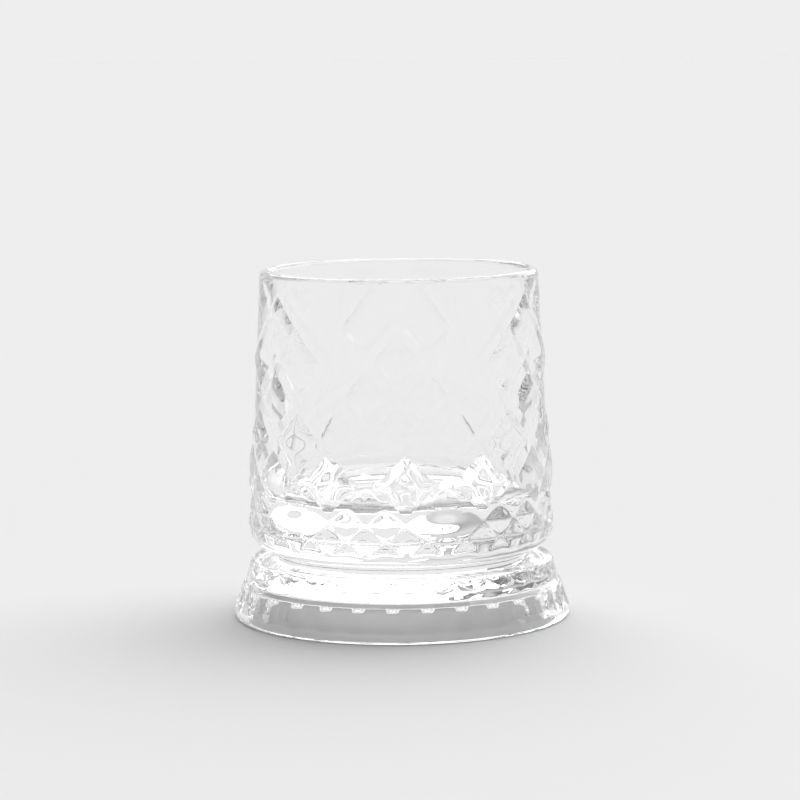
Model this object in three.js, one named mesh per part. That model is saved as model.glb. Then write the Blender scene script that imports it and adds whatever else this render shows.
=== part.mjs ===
// A pressed-glass whiskey tumbler, in millimetres, +Z up.
// Two pieces of clear glass: the drinking cup, and the flared, hollow foot it stands on.
// The foot's standing ring lies at z = 0, and the axis of both pieces is the Z axis.
// The middle of one smooth window of the cup faces -Y.
import * as THREE from "three";

// ---- Driving sizes ---------------------------------------------------------------------

const HEIGHT = 95; // standing ring to rim
const RIM_RADIUS = 38; // outside of the rim
const BODY_RADIUS = 42; // the cup's widest place, low on the body
const FOOT_RADIUS = 46; // the foot's widest place, just above the table
const FOOT_HEIGHT = 15.9; // standing ring to the foot's flat top

const RIM_WALL = 2.8; // thickness of the glass at the rim
const FLOOR_THICKNESS = 14; // glass below the middle of the drinking space
const BODY_WALL = 9; // thickness of the wall just above the rounded floor
const CAVITY_ROUND = 4; // round between the wall and the floor of the drinking space

const NECK_DEPTH = 7.5; // how far the waist between foot and cup lies in from the body
const NECK_HEIGHT = 3; // open height of the groove round the waist
const NECK_FILLET = 0.8; // round where the waist meets the body
const SEAT_GAP = 0.3; // drawn clearance where the cup sits on the foot
const BODY_CORNER = [5, 5.2]; // width and height of the body's rounded lower corner

const FOOT_WALL = 5; // glass of the foot, outside to inside
const FOOT_WEB = 6; // glass of the foot, flat top to the hollow below
const FOOT_SET_BACK = 0.4; // how much smaller the foot's shoulder is than the body
const SHOULDER_EDGE = [0.9, 0.6]; // width and height of the bevel on the foot's shoulder
const RING_EDGE = 0.8; // bevel outside the standing ring
const HOLLOW_DRAFT = 1; // how much the hollow under the foot narrows upwards
const HOLLOW_ROUND = 3; // round between the hollow's side and its ceiling

// ---- The cut pattern -------------------------------------------------------------------

const RIM_BAND = 2.7; // plain band between the pattern and the rim
const PATTERN_LIFT = 2.8; // plain part of the body's corner, below the pattern
const LATTICE_COUNT = 12; // large diamonds round the cup
const WINDOW_COUNT = 3; // smooth windows round the cup
const DIAMOND_RISE = 1; // how far a large diamond stands out of the channels
const SMALL_RISE = 0.6; // the same for a small diamond
const CHANNEL_HALF = 1 / 8; // half width of a channel, counted in diamonds
const SHOULDER = 1 / 4; // width of a diamond's rounded shoulder, counted in diamonds
const LENS_HALF = [0.48, 0.225]; // half width and height of a lens, in large diamonds

const FLUTE_COUNT = 30; // flutes round the foot, with a pointed arch above each
const FLUTE_TURN = -5; // angle from a window's middle to a flute's, in degrees
const FLUTE_DEPTH = 0.6;
const FLUTE_FOOT = 2.5; // height of the plain strip below the flutes
const FLUTE_TOP = 9.1;
const FLUTE_END = 1.1; // run-out at each end of a flute
const LEDGE = 0.6; // how far the fluted band stands out below the arches
const LEDGE_SLOPE = 0.8; // height of the slope above the ledge
const SCOOP_DEPTH = 0.8; // depth of the scoops between the pointed arches
const SCOOP_HEIGHT = 3; // how far the scoops reach down from the foot's shoulder

// ---- Fineness of the surfaces ------------------------------------------------------------

const CELLS_PER_DIAMOND = 8; // columns across a large diamond, and rows up it
const COLUMNS_PER_FLUTE = 4;
const ROUND_STEPS = 4; // straight pieces in each rounded edge

// ---- Radii and heights that follow ---------------------------------------------------------

const CAVITY_FOOT_RADIUS = BODY_RADIUS - BODY_WALL;
const NECK_RADIUS = BODY_RADIUS - NECK_DEPTH;

const SEAT = FOOT_HEIGHT + SEAT_GAP; // underside of the cup
const BODY_BOTTOM = FOOT_HEIGHT + NECK_HEIGHT; // underside of the wide body
const CAVITY_FLOOR = BODY_BOTTOM + FLOOR_THICKNESS;
const PATTERN_TOP = HEIGHT - RIM_BAND;
const PATTERN_FOOT = BODY_BOTTOM + PATTERN_LIFT;
const CORNER_TOP = BODY_BOTTOM + BODY_CORNER[1];

const LOWEST = -3.5; // the pattern's lower end, counted in large diamonds from its top
const SADDLE = -3; // below this the small diamonds stand alone
const LAST_ROW_SQUASH = 0.88; // the lowest half diamonds are a little flatter than the others
const DIAMOND_HEIGHT =
  (PATTERN_TOP - PATTERN_FOOT) / ((SADDLE - LOWEST) * LAST_ROW_SQUASH - SADDLE);

// Height of a place in the pattern. `up` counts large diamonds from the pattern's top.
function patternHeight(up) {
  const belowSaddle = Math.min(up - SADDLE, 0) * LAST_ROW_SQUASH;
  return PATTERN_TOP + (Math.max(up, SADDLE) + belowSaddle) * DIAMOND_HEIGHT;
}

// Radius of the windows and channels: a cone that leans in towards the rim, rounded at its foot.
function bodyRadius(z) {
  const widest = BODY_RADIUS - SMALL_RISE;
  if (z > CORNER_TOP) {
    return THREE.MathUtils.mapLinear(z, CORNER_TOP, PATTERN_TOP, widest, RIM_RADIUS);
  }
  const fallen = (CORNER_TOP - z) / BODY_CORNER[1];
  return widest - BODY_CORNER[0] * (1 - Math.sqrt(1 - fallen ** 2));
}

const distanceToWhole = (x) => Math.abs(x - Math.round(x));

// Share of its full height that a diamond has at a distance from the middle of a channel.
function cushion(fromChannel) {
  const shortOfTop = 1 - THREE.MathUtils.clamp((fromChannel - CHANNEL_HALF) / SHOULDER, 0, 1);
  return 1 - shortOfTop ** 2;
}

// Six broad lenses, each in the place of two small diamonds.
function lensRise(across, up) {
  const pitch = LATTICE_COUNT / WINDOW_COUNT / 2;
  const fromMiddle = across - 0.5 - pitch * Math.round((across - 0.5) / pitch);
  const share = Math.hypot(fromMiddle / LENS_HALF[0], (up - SADDLE) / LENS_HALF[1]);
  return SMALL_RISE * Math.max(0, 1 - share ** 2);
}

// How far the cup stands out of its channels. `across` and `up` count large diamonds, from
// the middle of a window and from the top of the pattern. The channels run along two
// families of lines, which cross in the middle of each column between two windows.
function patternRise(across, up) {
  const lens = lensRise(across, up);
  if (lens > 0) return lens;

  const pitch = LATTICE_COUNT / WINDOW_COUNT;
  const aside = across - pitch * (Math.round(across / pitch - 0.5) + 0.5);
  const rising = up + aside;
  const falling = up - aside;

  const isSmall = up < SADDLE + distanceToWhole(across) - 0.01;
  if (isSmall) {
    return SMALL_RISE * cushion(Math.min(distanceToWhole(2 * rising), distanceToWhole(2 * falling)));
  }

  // Three diamonds are joined into a chevron at the top of each column.
  const longer = Math.max(rising, falling);
  const shorter = Math.min(rising, falling);
  if (longer > -1 && longer < 0 && shorter > -2) {
    return DIAMOND_RISE * cushion(Math.min(longer + 1, -longer, shorter + 2));
  }

  // The others stand in the columns, and all round in the lowest rows.
  const cellAside = (Math.floor(rising) - Math.floor(falling)) / 2;
  const cellUp = (Math.floor(rising) + Math.floor(falling) + 1) / 2;
  if (Math.abs(cellAside) > 0.75 && cellUp > -2.25) return 0;
  return DIAMOND_RISE * cushion(Math.min(distanceToWhole(rising), distanceToWhole(falling)));
}

// ---- Turned shapes ---------------------------------------------------------------------------

// Points of a rounded edge: a quarter of an ellipse from one point to another. It leaves the
// first point along the axis and arrives at the second across it, or the other way round.
function roundedEdge(from, to, leavesAlongAxis) {
  const points = [];
  for (let i = 1; i <= ROUND_STEPS; i += 1) {
    const angle = (i / ROUND_STEPS) * (Math.PI / 2);
    const quick = Math.sin(angle);
    const slow = 1 - Math.cos(angle);
    points.push([
      THREE.MathUtils.lerp(from[0], to[0], leavesAlongAxis ? slow : quick),
      THREE.MathUtils.lerp(from[1], to[1], leavesAlongAxis ? quick : slow),
    ]);
  }
  return points;
}

// A solid turned round the Z axis from a profile of [radius, height] points, outside first and
// then the inside, ending on the axis. `relief` moves each point in or out by its angle from
// -Y, in degrees, and its place in the profile.
function turnedSolid(profile, columns, relief) {
  const outline = profile.map(([radius, z]) => new THREE.Vector2(radius, z));
  const geometry = new THREE.LatheGeometry(outline, columns);
  geometry.rotateX(Math.PI / 2);
  geometry.deleteAttribute("normal");
  geometry.deleteAttribute("uv");

  const position = geometry.getAttribute("position");
  const moved = new Float32Array(position.count);
  for (let column = 0; column <= columns; column += 1) {
    const degrees = (360 * column) / columns;
    for (let row = 0; row < profile.length; row += 1) {
      const i = column * profile.length + row;
      moved[i] = relief(degrees, row);
      const radius = profile[row][0] + moved[i];
      const angle = THREE.MathUtils.degToRad(column === columns ? 0 : degrees);
      position.setXYZ(i, radius * Math.sin(angle), -radius * Math.cos(angle), profile[row][1]);
    }
  }
  geometry.setIndex(facesAlongCuts(profile.length, columns, moved));
  return geometry;
}

// Two triangles for each four neighbouring points. The edge between them joins the two
// corners that lie deeper, so that a cut's bottom runs along edges.
function facesAlongCuts(rows, columns, depth) {
  const faces = [];
  const isPoint = (row) => row === 0 || row === rows - 1;
  for (let column = 0; column < columns; column += 1) {
    for (let row = 0; row < rows - 1; row += 1) {
      const a = column * rows + row;
      const b = a + rows;
      const c = b + 1;
      const d = a + 1;
      const joinAC = depth[a] + depth[c] <= depth[b] + depth[d];
      const pair = joinAC
        ? [
            [a, b, c],
            [a, c, d],
          ]
        : [
            [a, b, d],
            [b, c, d],
          ];
      if (isPoint(row)) faces.push(a, c, d);
      else if (isPoint(row + 1)) faces.push(a, b, d);
      else faces.push(...pair[0], ...pair[1]);
    }
  }
  return faces;
}

// ---- The cup ------------------------------------------------------------------------------------

function cupGeometry() {
  const lipRadius = RIM_WALL / 2;
  const lipHeight = HEIGHT - lipRadius;
  const innerRimRadius = RIM_RADIUS - RIM_WALL;

  // Underside, waist and the body's rounded lower corner.
  const profile = [
    [0, SEAT],
    [NECK_RADIUS, SEAT],
    [NECK_RADIUS, BODY_BOTTOM - NECK_FILLET],
    [NECK_RADIUS + NECK_FILLET, BODY_BOTTOM],
  ];
  for (let step = 0; step <= ROUND_STEPS; step += 1) {
    const z = BODY_BOTTOM + PATTERN_LIFT * (step / ROUND_STEPS) ** 2;
    profile.push([bodyRadius(z), z]);
  }

  // The patterned wall.
  const firstPatternRow = profile.length - 1;
  const patternRows = -LOWEST * CELLS_PER_DIAMOND;
  for (let row = 1; row <= patternRows; row += 1) {
    const z = patternHeight(LOWEST + row / CELLS_PER_DIAMOND);
    profile.push([bodyRadius(z), z]);
  }

  // The plain rim, rounded over.
  const middle = [RIM_RADIUS - lipRadius, HEIGHT];
  profile.push([RIM_RADIUS, lipHeight]);
  profile.push(...roundedEdge([RIM_RADIUS, lipHeight], middle, true));
  profile.push(...roundedEdge(middle, [innerRimRadius, lipHeight], false));

  // The drinking space.
  const wallFoot = [CAVITY_FOOT_RADIUS, CAVITY_FLOOR + CAVITY_ROUND];
  const floorEdge = [CAVITY_FOOT_RADIUS - CAVITY_ROUND, CAVITY_FLOOR];
  profile.push(wallFoot, ...roundedEdge(wallFoot, floorEdge, true), [0, CAVITY_FLOOR]);

  const relief = (degrees, row) => {
    const step = row - firstPatternRow;
    if (step <= 0 || step >= patternRows) return 0;
    const across = (degrees * LATTICE_COUNT) / 360;
    return patternRise(across, LOWEST + step / CELLS_PER_DIAMOND);
  };
  return turnedSolid(profile, LATTICE_COUNT * CELLS_PER_DIAMOND, relief);
}

// ---- The foot -----------------------------------------------------------------------------------

function footGeometry() {
  const topRadius = BODY_RADIUS - FOOT_SET_BACK;
  const archTop = FOOT_HEIGHT - SHOULDER_EDGE[1];
  const archFoot = FLUTE_TOP + LEDGE_SLOPE;
  const scoopFoot = archTop - SCOOP_HEIGHT;

  // Radius of the side at a height: an upright strip, and a flare above it.
  const flare = (z) => THREE.MathUtils.mapLinear(z, FLUTE_FOOT, archTop, FOOT_RADIUS, topRadius);
  const side = (z) => (z > FLUTE_FOOT ? flare(z) : FOOT_RADIUS);

  // The hollow underside, from its middle out to the standing ring.
  const ceiling = FOOT_HEIGHT - FOOT_WEB;
  const hollowRadius = FOOT_RADIUS - FOOT_WALL;
  const ceilingRadius = hollowRadius - HOLLOW_DRAFT;
  const ceilingEdge = [ceilingRadius - HOLLOW_ROUND, ceiling];
  const profile = [
    [0, ceiling],
    ceilingEdge,
    ...roundedEdge(ceilingEdge, [ceilingRadius, ceiling - HOLLOW_ROUND], false),
    [hollowRadius, 0],
    [FOOT_RADIUS - RING_EDGE, 0],
  ];

  // The side. Each entry is [height, set-back, flute share, scoop share].
  const bands = [
    [RING_EDGE, 0, 0, 0],
    [FLUTE_FOOT, 0, 0, 0],
    [FLUTE_FOOT + FLUTE_END, 0, 1, 0],
    [FLUTE_TOP - FLUTE_END, 0, 1, 0],
    [FLUTE_TOP, 0, 0, 0],
    [archFoot, LEDGE, 0, 0],
    [scoopFoot, LEDGE / 2, 0, 0],
    [(scoopFoot + archTop) / 2, LEDGE / 4, 0, 0.5],
    [archTop, 0, 0, 1],
  ];
  const firstBand = profile.length;
  profile.push(...bands.map(([z, setBack]) => [side(z) - setBack, z]));
  profile.push([topRadius - SHOULDER_EDGE[0], FOOT_HEIGHT], [0, FOOT_HEIGHT]);

  const relief = (degrees, row) => {
    const band = bands[row - firstBand];
    if (!band) return 0;
    const fromFlute = distanceToWhole(((degrees - FLUTE_TURN) * FLUTE_COUNT) / 360);
    const flute = FLUTE_DEPTH * band[2] * Math.cos(Math.PI * fromFlute) ** 2;
    const scoop = SCOOP_DEPTH * Math.max(0, band[3] + 2 * fromFlute - 1);
    return -flute - scoop;
  };
  return turnedSolid(profile, FLUTE_COUNT * COLUMNS_PER_FLUTE, relief);
}

// ---- The pieces -----------------------------------------------------------------------------------

function glassPiece(name, geometry) {
  const material = new THREE.MeshStandardMaterial({
    color: 0xe9f0f1,
    roughness: 0.04,
    metalness: 0,
    transparent: true,
    opacity: 0.35,
  });
  const mesh = new THREE.Mesh(geometry, material);
  mesh.name = name;
  return mesh;
}

const tumbler = new THREE.Group();
tumbler.name = "whiskey_tumbler";
tumbler.add(glassPiece("cup", cupGeometry()));
tumbler.add(glassPiece("foot", footGeometry()));

export default tumbler;
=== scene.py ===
"""A clear pressed-glass whiskey tumbler on a pale studio floor.

The tumbler is one turned glass form. A node tree raises the diamonds on the cup and cuts
the flutes and scoops into the foot. Everything is in metres, +Z up, standing on z = 0.
"""

import math

import bpy
from mathutils import Matrix, Vector


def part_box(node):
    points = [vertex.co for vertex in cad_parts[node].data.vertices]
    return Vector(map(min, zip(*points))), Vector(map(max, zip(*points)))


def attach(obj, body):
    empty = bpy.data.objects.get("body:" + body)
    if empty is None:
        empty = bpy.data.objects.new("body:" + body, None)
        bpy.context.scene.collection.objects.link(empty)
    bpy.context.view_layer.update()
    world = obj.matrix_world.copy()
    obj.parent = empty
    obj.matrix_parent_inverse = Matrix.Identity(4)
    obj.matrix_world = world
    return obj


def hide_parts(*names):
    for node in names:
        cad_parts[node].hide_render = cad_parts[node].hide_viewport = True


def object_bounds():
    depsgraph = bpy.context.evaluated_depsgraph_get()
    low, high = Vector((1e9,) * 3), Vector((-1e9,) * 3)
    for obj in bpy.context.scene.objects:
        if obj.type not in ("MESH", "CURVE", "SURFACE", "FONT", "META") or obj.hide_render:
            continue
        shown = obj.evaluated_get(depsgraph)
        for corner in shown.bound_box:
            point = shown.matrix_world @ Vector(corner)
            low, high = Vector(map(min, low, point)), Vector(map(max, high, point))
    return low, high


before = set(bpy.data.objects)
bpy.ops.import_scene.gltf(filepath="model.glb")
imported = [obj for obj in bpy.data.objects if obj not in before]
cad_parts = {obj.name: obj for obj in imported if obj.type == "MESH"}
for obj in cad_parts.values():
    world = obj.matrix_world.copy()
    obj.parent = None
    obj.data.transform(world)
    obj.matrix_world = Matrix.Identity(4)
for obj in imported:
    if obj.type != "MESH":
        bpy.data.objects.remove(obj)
cad_low, cad_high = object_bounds()

# ---- Sizes of the glass --------------------------------------------------------------------

MM = 0.001
HEIGHT = cad_high.z
FOOT_RADIUS = cad_high.x
FOOT_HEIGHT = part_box("foot")[1].z
BODY_RADIUS = 42.0 * MM
RIM_RADIUS = 38.0 * MM

RIM_WALL = 2.8 * MM
FLOOR_THICKNESS = 14.0 * MM
CAVITY_FOOT_RADIUS = 33.0 * MM
CAVITY_ROUND = 4.0 * MM
NECK_RADIUS = 34.5 * MM
NECK_HEIGHT = 3.0 * MM
FOOT_WALL = 5.0 * MM
FOOT_WEB = 6.0 * MM
RING_EDGE = 0.8 * MM  # round outside the standing ring
RING_INNER_EDGE = (0.4 * MM, 0.3 * MM)  # width and height of its inner bevel
HOLLOW_DRAFT = 1.0 * MM  # how much the hollow under the foot narrows upwards
HOLLOW_ROUND = 3.0 * MM  # round between the hollow's side and its ceiling
SHOULDER_WIDTH = 1.8 * MM  # width of the foot's rounded shoulder
WAIST_FILLET = 0.8 * MM

BODY_BOTTOM = FOOT_HEIGHT + NECK_HEIGHT
CAVITY_FLOOR = BODY_BOTTOM + FLOOR_THICKNESS

# ---- The cut pattern ---------------------------------------------------------------------

LATTICE_COUNT = 12
WINDOW_COUNT = 3
DIAMOND_RISE = 1.0 * MM
SMALL_RISE = 0.6 * MM
CHANNEL_HALF = 3 / 30  # half width of a channel, counted in large diamonds
SHOULDER = 8 / 30  # the cushion's rounded shoulder, measured the same way
SMALL_CHANNEL_HALF = 0.5 / 15  # the same two, counted in small diamonds
SMALL_SHOULDER = 7 / 15
LENS_HALF_WIDTH = 0.48  # both counted in large diamonds
LENS_HALF_HEIGHT = 0.225
LENS_RISE = 0.6  # as a share of a small diamond's rise
PATTERN_TOP = HEIGHT * 0.972
DIAMOND_HEIGHT = (PATTERN_TOP - BODY_BOTTOM) * 0.28
TOP_FADE = 0.25  # the pattern dies away over this much of a large diamond at its top
SADDLE = -3.0  # below this the small diamonds stand alone
LOWEST = -3.5
FULL_ROWS_BELOW = -2.25  # diamonds centred below this stand all round the cup
LAST_ROW_SQUASH = 0.88
LAST_ROW_FADE = 0.2  # the last row dies away over this much of a large diamond
CORNER_WIDTH = 5.0 * MM
CORNER_HEIGHT = 5.2 * MM

FLUTE_COUNT = 30
FLUTE_TURN = -5.0
FLUTE_DEPTH = 0.6 * MM
FLUTE_HALF = 4 / 12  # half width of a flute, as a share of the flutes' pitch
SCOOP_DEPTH = 0.2 * MM
SCOOP_BEVEL = 0.4 * MM
RIDGE_RISE = 0.25 * MM
RIDGE_START = 0.5 * MM  # height over which a ridge rises from the ledge
LEDGE = 0.6 * MM

STRIP_TOP = FOOT_HEIGHT * 0.16
FLUTE_FOOT = FOOT_HEIGHT * 0.17
FLUTE_TOP = FOOT_HEIGHT * 0.56
LEDGE_HEIGHT = FOOT_HEIGHT * 0.58
ARCH_FOOT = FOOT_HEIGHT * 0.66
ARCH_TOP = FOOT_HEIGHT - 0.5 * MM
ARCH_MIDDLE = (ARCH_FOOT + ARCH_TOP) / 2
SCOOP_REACH = 0.94  # how far a scoop's edge climbs to the arches' top
SCOOP_LOW = 0.80  # lowest point of a scoop's edge, as a share of the foot's height
FOOT_TOP_RADIUS = BODY_RADIUS - 0.4 * MM
FOOT_LEAN = (FOOT_TOP_RADIUS - FOOT_RADIUS) / (ARCH_TOP - STRIP_TOP)

CUP_ZONE, FOOT_ZONE = 1, 2  # which rule moves a point
COLUMNS = 360
CREASE = math.radians(16)  # a turn sharper than this shows as an edge
ROWS_PER_DIAMOND = COLUMNS // LATTICE_COUNT
ROUND_STEPS = 8


# ---- The turned form ---------------------------------------------------------------------

def pattern_height(up):
    """Height of a place in the pattern; `up` counts large diamonds from the pattern's top."""
    if up >= SADDLE:
        return PATTERN_TOP + up * DIAMOND_HEIGHT
    return pattern_height(SADDLE) + (up - SADDLE) * DIAMOND_HEIGHT * LAST_ROW_SQUASH


def body_radius(z):
    """Radius of the windows and channels: a cone with a rounded corner at its foot."""
    corner_top = BODY_BOTTOM + CORNER_HEIGHT
    widest = BODY_RADIUS - SMALL_RISE
    if z > corner_top:
        return widest + (RIM_RADIUS - widest) * (z - corner_top) / (PATTERN_TOP - corner_top)
    fallen = (corner_top - z) / CORNER_HEIGHT
    return widest - CORNER_WIDTH * (1 - math.sqrt(1 - fallen * fallen))


def rounded_edge(start, end, leaves_along_axis, steps=ROUND_STEPS):
    """A quarter ellipse from start to end, as [radius, height] points after the start."""
    points = []
    for i in range(1, steps + 1):
        angle = i / steps * math.pi / 2
        quick, slow = math.sin(angle), 1 - math.cos(angle)
        across, along = (slow, quick) if leaves_along_axis else (quick, slow)
        points.append((start[0] + (end[0] - start[0]) * across,
                       start[1] + (end[1] - start[1]) * along))
    return points


def straight(start, end, steps):
    """Evenly spaced points from start to end, after the start."""
    return [(start[0] + (end[0] - start[0]) * i / steps,
             start[1] + (end[1] - start[1]) * i / steps) for i in range(1, steps + 1)]


class Outline:
    """The glass's section, from the middle of the hollow underside round to the cup's floor.

    Each point carries the zone it lies in (0 where it is plain) and its place there: large
    diamonds from the pattern's top on the cup, height on the foot.
    """

    def __init__(self, start):
        self.points = [start]
        self.zones = [0]
        self.places = [0.0]

    def add(self, points, zone=0, places=None):
        self.points += points
        self.zones += [zone] * len(points)
        self.places += places if places else [0.0] * len(points)


def tumbler_outline():
    def side(z):
        return min(FOOT_RADIUS, FOOT_RADIUS + FOOT_LEAN * (z - STRIP_TOP))

    hollow_radius = FOOT_RADIUS - FOOT_LEAN * STRIP_TOP - FOOT_WALL
    ceiling = FOOT_HEIGHT - FOOT_WEB

    outline = Outline((0.0, ceiling))
    ceiling_edge = (hollow_radius - HOLLOW_DRAFT - HOLLOW_ROUND, ceiling)
    hollow_top = (hollow_radius - HOLLOW_DRAFT, ceiling - HOLLOW_ROUND)
    outline.add(straight((0.0, ceiling), ceiling_edge, 6))
    outline.add(rounded_edge(ceiling_edge, hollow_top, False, 6))
    bevel_width, bevel_height = RING_INNER_EDGE
    ring_inner = (hollow_radius + bevel_width, 0.0)
    outline.add([(hollow_radius, bevel_height), ring_inner])
    ring_outer = (FOOT_RADIUS - RING_EDGE, 0.0)
    outline.add(straight(ring_inner, ring_outer, 2))
    outline.add(rounded_edge(ring_outer, (FOOT_RADIUS, RING_EDGE), False, 4))

    # The foot's side: plain strip, flutes, ledge, arches with scoops, rounded shoulder.
    def add_band(start, end, rows, set_back_start=0.0, set_back_end=0.0):
        heights = [start + (end - start) * i / rows for i in range(1, rows + 1)]
        shares = [i / rows for i in range(1, rows + 1)]
        points = [(side(z) - set_back_start - (set_back_end - set_back_start) * share, z)
                  for z, share in zip(heights, shares)]
        outline.add(points, FOOT_ZONE, heights)

    add_band(RING_EDGE, FLUTE_FOOT, 3)
    add_band(FLUTE_FOOT, FLUTE_TOP, 14)
    add_band(FLUTE_TOP, LEDGE_HEIGHT, 1)
    add_band(LEDGE_HEIGHT, ARCH_FOOT, 4, 0.0, LEDGE)
    add_band(ARCH_FOOT, ARCH_TOP, 12, LEDGE, LEDGE * 0.3)
    shoulder_end = (FOOT_TOP_RADIUS - SHOULDER_WIDTH, FOOT_HEIGHT)
    shoulder = rounded_edge(outline.points[-1], shoulder_end, True, 4)
    outline.add(shoulder)

    # The waist.
    fillet = WAIST_FILLET
    outline.add(straight(shoulder[-1], (NECK_RADIUS + fillet, FOOT_HEIGHT), 3))
    outline.add(rounded_edge((NECK_RADIUS + fillet, FOOT_HEIGHT),
                             (NECK_RADIUS, FOOT_HEIGHT + fillet), False, 4))
    outline.add([(NECK_RADIUS, BODY_BOTTOM - fillet)])
    outline.add(rounded_edge((NECK_RADIUS, BODY_BOTTOM - fillet),
                             (NECK_RADIUS + fillet, BODY_BOTTOM), True, 4))
    corner_top = BODY_BOTTOM + CORNER_HEIGHT
    corner_turn = math.acos((corner_top - pattern_height(LOWEST)) / CORNER_HEIGHT)
    corner_heights = [corner_top - CORNER_HEIGHT * math.cos(corner_turn * i / ROUND_STEPS)
                      for i in range(ROUND_STEPS)]
    outline.add([(body_radius(z), z) for z in corner_heights])

    # The patterned wall.
    rows = round(-LOWEST * ROWS_PER_DIAMOND)
    places = [LOWEST + i / ROWS_PER_DIAMOND for i in range(rows + 1)]
    heights = [pattern_height(up) for up in places]
    outline.add([(body_radius(z), z) for z in heights], CUP_ZONE, places)

    # The rim.
    lip = RIM_WALL / 2
    outer_lip = (RIM_RADIUS, HEIGHT - lip)
    middle = (RIM_RADIUS - lip, HEIGHT)
    inner_lip = (RIM_RADIUS - RIM_WALL, HEIGHT - lip)
    outline.add([outer_lip])
    outline.add(rounded_edge(outer_lip, middle, True, 5))
    outline.add(rounded_edge(middle, inner_lip, False, 5))

    # The drinking space.
    wall_foot = (CAVITY_FOOT_RADIUS, CAVITY_FLOOR + CAVITY_ROUND)
    floor_edge = (CAVITY_FOOT_RADIUS - CAVITY_ROUND, CAVITY_FLOOR)
    outline.add(straight(inner_lip, wall_foot, 8))
    outline.add(rounded_edge(wall_foot, floor_edge, True, 8))
    outline.add(straight(floor_edge, (0.0, CAVITY_FLOOR), 4))
    return outline


def nearer_rising_line(across, up):
    """True where the nearest channel climbs to the left, as seen from outside."""
    is_small = up < SADDLE + abs(across - round(across))
    lines = 2 if is_small else 1

    def to_line(x):
        return abs(lines * x - round(lines * x))

    return to_line(up + across) < to_line(up - across)


def turned_mesh(outline):
    """Turns the outline into a closed mesh with the zone and place kept on each point."""
    points = outline.points
    inner = range(1, len(points) - 1)
    vertices = [(0.0, 0.0, points[0][1])]
    zones, places = [outline.zones[0]], [outline.places[0]]
    for row in inner:
        radius, z = points[row]
        for column in range(COLUMNS):
            angle = 2 * math.pi * column / COLUMNS
            vertices.append((radius * math.sin(angle), -radius * math.cos(angle), z))
        zones += [outline.zones[row]] * COLUMNS
        places += [outline.places[row]] * COLUMNS
    vertices.append((0.0, 0.0, points[-1][1]))
    zones.append(outline.zones[-1])
    places.append(outline.places[-1])

    faces = []
    last = len(vertices) - 1
    for column in range(COLUMNS):
        after = (column + 1) % COLUMNS
        across = (column + 0.5) / ROWS_PER_DIAMOND
        faces.append((0, 1 + after, 1 + column))
        for row in range(len(points) - 3):
            low, high = 1 + row * COLUMNS, 1 + (row + 1) * COLUMNS
            a, b, c, d = low + column, low + after, high + after, high + column
            if outline.zones[row + 1] != CUP_ZONE:
                faces.append((a, b, c, d))
            elif nearer_rising_line(across, (places[a] + places[d]) / 2):
                faces += [(a, b, d), (b, c, d)]
            else:
                faces += [(a, b, c), (a, c, d)]
        top = last - COLUMNS
        faces.append((top + column, top + after, last))
    mesh = bpy.data.meshes.new("tumbler_form")
    mesh.from_pydata(vertices, [], faces)
    for name, values in (("zone", zones), ("place", places)):
        attribute = mesh.attributes.new(name, "FLOAT", "POINT")
        attribute.data.foreach_set("value", values)
    mesh.polygons.foreach_set("use_smooth", [True] * len(mesh.polygons))
    mesh.update()
    return mesh


# ---- The node tree that cuts the pattern ---------------------------------------------------

class Number:
    """A number inside a node tree, so that a rule can be written as a formula."""

    def __init__(self, tree, socket):
        self.tree = tree
        self.socket = socket

    def math(self, operation, *others):
        node = self.tree.nodes.new("ShaderNodeMath")
        node.operation = operation
        for slot, value in zip(node.inputs, (self, *others)):
            if isinstance(value, Number):
                self.tree.links.new(value.socket, slot)
            else:
                slot.default_value = value
        return Number(self.tree, node.outputs[0])

    def __add__(self, other):
        return self.math("ADD", other)

    def __sub__(self, other):
        return self.math("SUBTRACT", other)

    def __mul__(self, other):
        return self.math("MULTIPLY", other)

    def __truediv__(self, other):
        return self.math("DIVIDE", other)

    def __neg__(self):
        return self * -1.0

    def __lt__(self, other):
        return self.math("LESS_THAN", other)

    def __gt__(self, other):
        return self.math("GREATER_THAN", other)

    def minimum(self, other):
        return self.math("MINIMUM", other)

    def maximum(self, other):
        return self.math("MAXIMUM", other)

    def __rsub__(self, other):
        return -self + other

    __radd__ = __add__
    __rmul__ = __mul__

    def absolute(self):
        return self.math("ABSOLUTE")

    def floor(self):
        return self.math("FLOOR")

    def whole(self):
        return self.math("ROUND")

    def is_zero(self):
        return self.absolute() < 0.5

    def offset_from_whole(self):
        """Signed distance from the nearest whole number."""
        return self - self.math("ROUND")

    def slope(self, low, high):
        """Rises evenly from 0 at low to 1 at high, and stays there."""
        return ((self - low) / (high - low)).maximum(0.0).minimum(1.0)

    def cushion(self, edge, shoulder):
        """Leaves 0 at a crisp edge, rounds over along the shoulder, and stays at 1."""
        short_of_top = 1.0 - self.slope(edge, edge + shoulder)
        return 1.0 - short_of_top * short_of_top

    def to_whole(self):
        """Distance to the nearest whole number."""
        return self.offset_from_whole().absolute()

    def ramp(self, low, high):
        """Rises smoothly from 0 at low to 1 at high."""
        node = self.tree.nodes.new("ShaderNodeMapRange")
        node.interpolation_type = "SMOOTHSTEP"
        self.tree.links.new(self.socket, node.inputs["Value"])
        for name, value in (("From Min", low), ("From Max", high)):
            if isinstance(value, Number):
                self.tree.links.new(value.socket, node.inputs[name])
            else:
                node.inputs[name].default_value = value
        return Number(self.tree, node.outputs["Result"])


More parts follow.
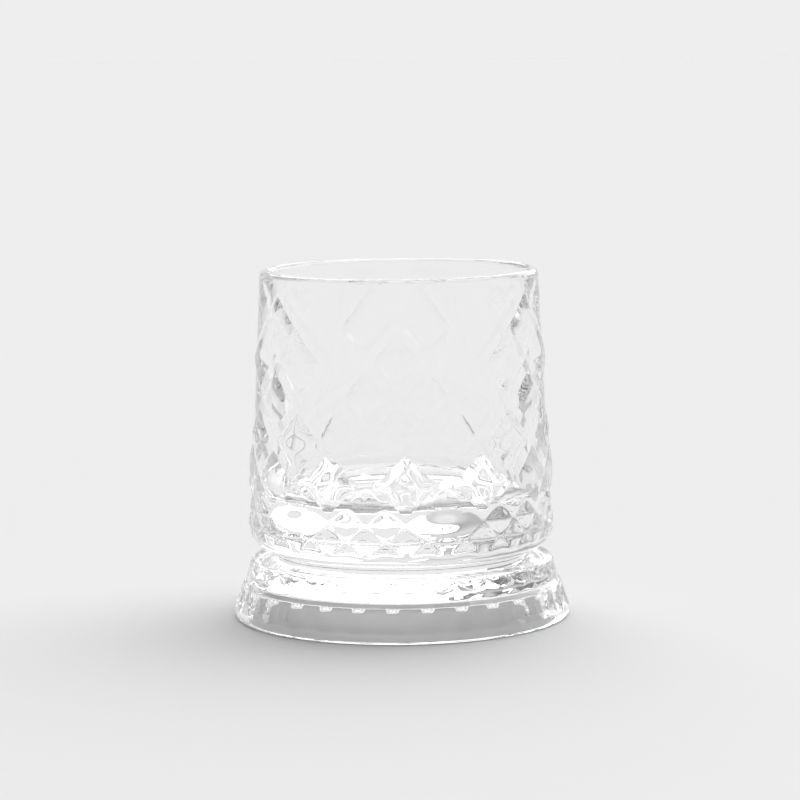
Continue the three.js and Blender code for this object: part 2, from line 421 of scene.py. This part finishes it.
def cut_glass_tree(material):
    """Moves the points of the turned form in or out by the pattern's rules."""
    tree = bpy.data.node_groups.new("cut_glass", "GeometryNodeTree")
    nodes, links = tree.nodes, tree.links
    tree.interface.new_socket("Form", in_out="INPUT", socket_type="NodeSocketGeometry")
    defaults = {
        "Diamonds round": LATTICE_COUNT,
        "Windows round": WINDOW_COUNT,
        "Diamond rise": DIAMOND_RISE,
        "Small diamond rise": SMALL_RISE,
        "Flutes round": FLUTE_COUNT,
        "Flute turn": FLUTE_TURN,
        "Flute depth": FLUTE_DEPTH,
        "Scoop depth": SCOOP_DEPTH,
        "Foot height": FOOT_HEIGHT,
    }
    for name, value in defaults.items():
        socket = tree.interface.new_socket(name, in_out="INPUT", socket_type="NodeSocketFloat")
        socket.default_value = value
    tree.interface.new_socket("Glass", in_out="OUTPUT", socket_type="NodeSocketGeometry")
    source = nodes.new("NodeGroupInput")

    def given(name):
        return Number(tree, source.outputs[name])

    def kept(name):
        node = nodes.new("GeometryNodeInputNamedAttribute")
        node.data_type = "FLOAT"
        node.inputs["Name"].default_value = name
        return Number(tree, node.outputs["Attribute"])

    position = nodes.new("GeometryNodeInputPosition")
    split = nodes.new("ShaderNodeSeparateXYZ")
    links.new(position.outputs[0], split.inputs[0])
    x, y = Number(tree, split.outputs[0]), Number(tree, split.outputs[1])
    turn = x.math("ARCTAN2", -y) / (2 * math.pi)
    zone, place = kept("zone"), kept("place")

    on_cup = (zone - CUP_ZONE).is_zero()
    on_foot = (zone - FOOT_ZONE).is_zero()
    foot_out, foot_lift = foot_cut(given, turn, place)
    move = on_cup * cup_rise(given, turn, place) + on_foot * foot_out
    lift = on_foot * foot_lift

    flat = nodes.new("ShaderNodeCombineXYZ")
    links.new(split.outputs[0], flat.inputs[0])
    links.new(split.outputs[1], flat.inputs[1])
    outward = nodes.new("ShaderNodeVectorMath")
    outward.operation = "NORMALIZE"
    links.new(flat.outputs[0], outward.inputs[0])
    offset = nodes.new("ShaderNodeVectorMath")
    offset.operation = "SCALE"
    links.new(outward.outputs[0], offset.inputs[0])
    links.new(move.socket, offset.inputs["Scale"])

    upward = nodes.new("ShaderNodeCombineXYZ")
    links.new(lift.socket, upward.inputs[2])
    both = nodes.new("ShaderNodeVectorMath")
    links.new(offset.outputs[0], both.inputs[0])
    links.new(upward.outputs[0], both.inputs[1])

    moved = nodes.new("GeometryNodeSetPosition")
    links.new(source.outputs["Form"], moved.inputs["Geometry"])
    links.new(both.outputs[0], moved.inputs["Offset"])
    realize = nodes.new("GeometryNodeRealizeInstances")
    links.new(moved.outputs[0], realize.inputs[0])
    finish = nodes.new("GeometryNodeSetMaterial")
    finish.inputs["Material"].default_value = material
    links.new(realize.outputs[0], finish.inputs["Geometry"])
    result = nodes.new("NodeGroupOutput")
    links.new(finish.outputs[0], result.inputs["Glass"])
    return tree


def cup_rise(given, turn, up):
    """How far the cup stands out of its channels.

    The channels run along two families of crossing lines, counted by `rising` and `falling`.
    The smooth windows lie level with them. Each diamond is a cushion: it leaves the channel
    at a crisp edge and rounds over to its middle.
    """
    across = turn * given("Diamonds round")
    pitch = given("Diamonds round") / given("Windows round")
    aside = (across / pitch - 0.5).offset_from_whole() * pitch
    rising, falling = up + aside, up - aside

    # A diamond stands in the columns between the windows, or in the lowest rows.
    rising_cell, falling_cell = rising.floor(), falling.floor()
    cell_aside = (rising_cell - falling_cell) / 2.0
    cell_up = (rising_cell + falling_cell + 1.0) / 2.0
    present = (cell_aside.absolute() < 0.75).maximum(cell_up < FULL_ROWS_BELOW)

    def share(distance):
        return distance.cushion(CHANNEL_HALF, SHOULDER)

    large = share(rising.to_whole()) * share(falling.to_whole()) * present

    # Three of them are joined into the chevron at the top of each column.
    longer, shorter = rising.maximum(falling), rising.minimum(falling)
    in_chevron = (longer > -1.0) * (shorter > -2.0) * (longer < 0.0)
    chevron = share(-rising) * share(-falling) * share(shorter + 2.0) * share(longer + 1.0)
    large = (large + in_chevron * (chevron - large)) * given("Diamond rise")
    large = large * (-up).slope(0.0, TOP_FADE)

    def small_share(line):
        return (line * 2.0).to_whole().cushion(SMALL_CHANNEL_HALF, SMALL_SHOULDER)

    small = small_share(rising) * small_share(falling) * given("Small diamond rise")
    small = small * up.slope(LOWEST, LOWEST + LAST_ROW_FADE)
    is_small = up < across.to_whole() + (SADDLE - 0.001)
    rise = large + is_small * (small - large)

    # Six broad lenses each take the place of two small diamonds.
    lens_aside = (turn * (2.0 * given("Windows round")) - 0.25).offset_from_whole()
    lens_aside = lens_aside * 2.0 / LENS_HALF_WIDTH
    lens_up = (up - SADDLE) / LENS_HALF_HEIGHT
    from_middle = (lens_aside * lens_aside + lens_up * lens_up).math("SQRT")
    lens = (1.0 - from_middle).cushion(0.0, 0.8) * given("Small diamond rise") * LENS_RISE
    return rise + (from_middle < 1.0) * (lens - rise)


def scoop_edge(given, from_flute):
    """Height of the lower edge of the scoops: a row of U shapes that meet at the arch tips."""
    from_scoop = 1.0 - from_flute * 2.0
    low = given("Foot height") * SCOOP_LOW
    return low + (ARCH_TOP - low) * from_scoop * from_scoop * SCOOP_REACH


def foot_cut(given, turn, z):
    """Sideways and upward moves of a point on the foot's side: flutes, arches and scoops."""
    from_flute = ((turn - given("Flute turn") / 360.0) * given("Flutes round")).to_whole()

    # Flutes: oval hollows with crisp edges.
    flute_middle = (FLUTE_TOP + FLUTE_FOOT) / 2
    flute_half = (FLUTE_TOP - FLUTE_FOOT) / 2
    aside = from_flute / FLUTE_HALF
    away = ((z - flute_middle) / flute_half).absolute()
    round_end = away.slope(0.2, 1.0)
    flute = (1.0 - round_end * round_end - aside * aside).maximum(0.0)

    # Scoops: the rows of points slide up or down so that one row runs along the edge.
    edge = scoop_edge(given, from_flute)
    below = (z - ARCH_FOOT) * (edge - ARCH_FOOT) / (ARCH_MIDDLE - ARCH_FOOT) + ARCH_FOOT
    above = (z - ARCH_MIDDLE) * (ARCH_TOP - edge) / (ARCH_TOP - ARCH_MIDDLE) + edge
    slid = below + (z > ARCH_MIDDLE) * (above - below)
    in_arches = (z > ARCH_FOOT)
    lift = in_arches * (slid - z)
    scoop = in_arches * (slid - edge).slope(0.0, SCOOP_BEVEL)

    # A low ridge runs down from each arch tip to the ledge.
    ridge = (1.0 - from_flute * 2.0) * (z - ARCH_FOOT).slope(0.0, RIDGE_START) * (z < ARCH_TOP)
    out = ridge * RIDGE_RISE - flute * given("Flute depth") - scoop * given("Scoop depth")
    return out + lift * FOOT_LEAN, lift


def cut_glass(material):
    form = bpy.data.objects.new("tumbler_form", turned_mesh(tumbler_outline()))
    bpy.context.scene.collection.objects.link(form)
    cutter = form.modifiers.new("cut_glass", "NODES")
    cutter.node_group = cut_glass_tree(material)
    evaluated = form.evaluated_get(bpy.context.evaluated_depsgraph_get())
    mesh = bpy.data.meshes.new_from_object(evaluated)
    bpy.data.objects.remove(form)
    for name in ("zone", "place"):
        mesh.attributes.remove(mesh.attributes[name])
    mesh.set_sharp_from_angle(angle=CREASE)
    glass = bpy.data.objects.new("tumbler_glass", mesh)
    bpy.context.scene.collection.objects.link(glass)
    return glass


# ---- Materials -------------------------------------------------------------------------------

def clear_glass():
    """Clear pressed glass, fire-polished: smooth, with the faint waviness of a mould."""
    material = bpy.data.materials.new("clear_glass")
    material.use_nodes = True
    nodes, links = material.node_tree.nodes, material.node_tree.links
    shader = nodes["Principled BSDF"]
    shader.inputs["Transmission Weight"].default_value = 1.0
    shader.inputs["IOR"].default_value = 1.5
    place = nodes.new("ShaderNodeTexCoord")
    waves = nodes.new("ShaderNodeTexNoise")
    waves.inputs["Scale"].default_value = 90.0
    waves.inputs["Detail"].default_value = 1.0
    links.new(place.outputs["Object"], waves.inputs["Vector"])
    bump = nodes.new("ShaderNodeBump")
    bump.inputs["Strength"].default_value = 0.25
    bump.inputs["Distance"].default_value = 0.0002
    links.new(waves.outputs["Fac"], bump.inputs["Height"])
    links.new(bump.outputs["Normal"], shader.inputs["Normal"])
    tint = nodes.new("ShaderNodeMapRange")
    tint.inputs["To Min"].default_value = 0.99
    tint.inputs["To Max"].default_value = 1.0
    links.new(waves.outputs["Fac"], tint.inputs["Value"])
    colour = nodes.new("ShaderNodeCombineColor")
    links.new(tint.outputs["Result"], colour.inputs["Red"])
    links.new(tint.outputs["Result"], colour.inputs["Green"])
    colour.inputs["Blue"].default_value = 1.0
    links.new(colour.outputs["Color"], shader.inputs["Base Color"])
    roughness = nodes.new("ShaderNodeMapRange")
    roughness.inputs["To Min"].default_value = 0.0
    roughness.inputs["To Max"].default_value = 0.015
    links.new(waves.outputs["Fac"], roughness.inputs["Value"])
    links.new(roughness.outputs["Result"], shader.inputs["Roughness"])
    return material


# ---- Studio --------------------------------------------------------------------------------

FLOOR_GAP = 0.2 * MM  # keeps floor and glass from touching
FLOOR_GREY = 0.8  # how pale the floor is
LOW_SKY = 0.855  # brightness of the pale surroundings, level with the glass
HIGH_SKY = 0.15  # brightness of the dimmer room overhead
SKY_DIMS = (0.05, 0.5)  # heights, as sines, between which it dims
KEY_ENERGY = 3.4
KEY_ANGLE = math.radians(90)  # a wide lamp, so its shadow is soft
KEY_DIRECTION = (-0.35, -0.7, -1.0)


def floor_material():
    """One even pale matt colour."""
    material = bpy.data.materials.new("pale_floor")
    material.use_nodes = True
    shader = material.node_tree.nodes["Principled BSDF"]
    shader.inputs["Base Color"].default_value = (FLOOR_GREY, FLOOR_GREY, FLOOR_GREY, 1.0)
    shader.inputs["Roughness"].default_value = 0.9
    shader.inputs["Specular IOR Level"].default_value = 0.0
    return material


def studio_floor():
    mesh = bpy.data.meshes.new("floor")
    reach = 12.0
    mesh.from_pydata([(-reach, -reach, 0), (reach, -reach, 0), (reach, reach, 0), (-reach, reach, 0)],
                     [], [(0, 1, 2, 3)])
    mesh.materials.append(floor_material())
    floor = bpy.data.objects.new("floor", mesh)
    bpy.context.scene.collection.objects.link(floor)
    floor.location.z = -FLOOR_GAP


def studio_light():
    """Pale surroundings, the same all round and dimmer overhead, and a wide soft key lamp."""
    world = bpy.data.worlds.new("studio")
    bpy.context.scene.world = world
    world.use_nodes = True
    background = world.node_tree.nodes["Background"]
    background.inputs["Color"].default_value = (1, 1, 1, 1)
    place = world.node_tree.nodes.new("ShaderNodeTexCoord")
    split = world.node_tree.nodes.new("ShaderNodeSeparateXYZ")
    world.node_tree.links.new(place.outputs["Generated"], split.inputs[0])
    up = Number(world.node_tree, split.outputs[2])
    bright = up.ramp(*SKY_DIMS) * (HIGH_SKY - LOW_SKY) + LOW_SKY
    world.node_tree.links.new(bright.socket, background.inputs["Strength"])

    key = bpy.data.lights.new("key", "SUN")
    key.energy = KEY_ENERGY
    key.angle = KEY_ANGLE
    lamp = bpy.data.objects.new("key", key)
    lamp.rotation_euler = Vector(KEY_DIRECTION).to_track_quat("-Z", "Y").to_euler()
    bpy.context.scene.collection.objects.link(lamp)


def studio_camera():
    """Looks at the glass from the front and a little above."""
    distance, height = 0.831, 0.162  # from the tumbler's axis, and above the floor
    azimuth = math.radians(-1.7)
    aim = Vector((0.0, 0.0, 0.0589))
    roll = math.radians(0.65)
    data = bpy.data.cameras.new("camera")
    data.lens = 137.6
    data.sensor_width = 36.0
    camera = bpy.data.objects.new("camera", data)
    camera.location = (distance * math.sin(azimuth), -distance * math.cos(azimuth), height)
    look = (aim - camera.location).to_track_quat("-Z", "Y")
    turned = look.to_matrix().to_4x4()
    camera.rotation_euler = (turned @ Matrix.Rotation(-roll, 4, "Z")).to_euler()
    bpy.context.scene.collection.objects.link(camera)
    bpy.context.scene.camera = camera


studio_camera()
studio_floor()
studio_light()
glass = cut_glass(clear_glass())
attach(glass, "root")
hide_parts("cup", "foot")

cycles = bpy.context.scene.cycles
cycles.max_bounces = 32
cycles.transmission_bounces = 32
cycles.glossy_bounces = 32
cycles.transparent_max_bounces = 32
bpy.context.scene.view_settings.view_transform = "Standard"
